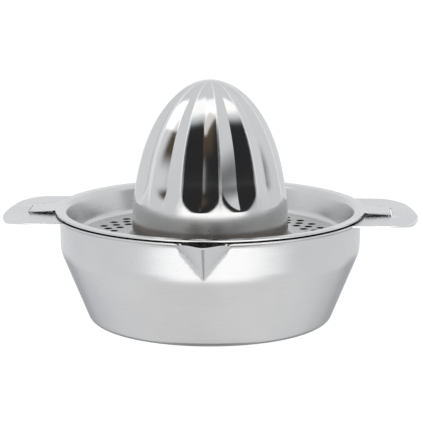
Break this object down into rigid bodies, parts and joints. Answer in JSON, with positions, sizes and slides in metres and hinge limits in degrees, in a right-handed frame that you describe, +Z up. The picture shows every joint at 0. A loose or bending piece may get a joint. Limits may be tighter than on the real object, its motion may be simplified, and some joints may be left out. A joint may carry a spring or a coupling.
{
  "type": "hand citrus juicer",
  "caption": "Pressed-steel hand citrus juicer: a round bowl with a pouring lip and side ears, and a lift-off perforated strainer with a fluted reamer dome.",
  "frame": {"origin": "centre of the bowl's flat underside, where it stands on the table", "axes": "+Z up along the axis of the reamer, +X along the two ears, -Y towards the pouring lip"},
  "size_m": [0.1794, 0.142, 0.1045],
  "materials": {
    "bowl_steel": "satin, finely brushed round the wall",
    "strainer_steel": "polished, near mirror on the dome and satin on the dish"
  },
  "bodies": {
    "bowl": {"juice_bowl": "bowl_steel"},
    "strainer": {"strainer_reamer": "strainer_steel"}
  },
  "joints": [
    {"name": "strainer_lift", "type": "slide", "parent": "bowl", "child": "strainer", "axis": [0, 0, 1], "range_m": [0, 0.06]}
  ]
}
